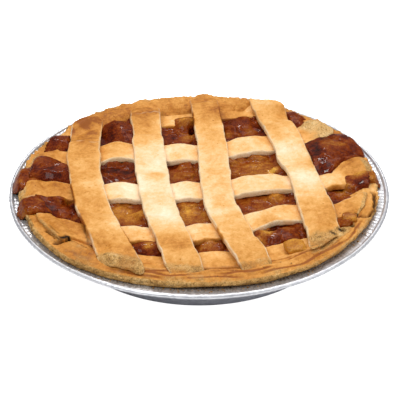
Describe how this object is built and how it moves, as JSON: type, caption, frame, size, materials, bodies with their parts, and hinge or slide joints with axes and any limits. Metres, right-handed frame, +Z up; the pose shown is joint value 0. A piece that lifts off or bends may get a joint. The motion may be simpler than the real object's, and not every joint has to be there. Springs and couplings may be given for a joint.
{
  "type": "lattice apple pie",
  "caption": "Whole round fruit pie with a lattice of pastry strips over glossy apple filling, in its shallow foil tin.",
  "frame": {"origin": "middle of the tin's base, on the surface that the pie stands on", "axes": "+Z up; +Y along the long strips, away from the front of the pie; +X along the cross strips, to the right"},
  "size_m": [0.244, 0.244, 0.0395],
  "materials": {
    "foil": "bright foil",
    "crust": "baked crumbly pastry",
    "lattice": "baked smooth pastry",
    "filling": "glossy cooked fruit",
    "apple": "glazed cooked apple"
  },
  "bodies": {
    "root": {"tin": "foil", "crust": "crust", "filling": "filling", "long_strip_1": "lattice", "long_strip_2": "lattice", "long_strip_3": "lattice", "long_strip_4": "lattice", "cross_strip_1": "lattice", "cross_strip_2": "lattice", "cross_strip_3": "lattice", "cross_strip_4": "lattice", "cross_strip_5": "lattice", "apple_piece_1": "apple", "apple_piece_2": "apple"}
  },
  "joints": []
}
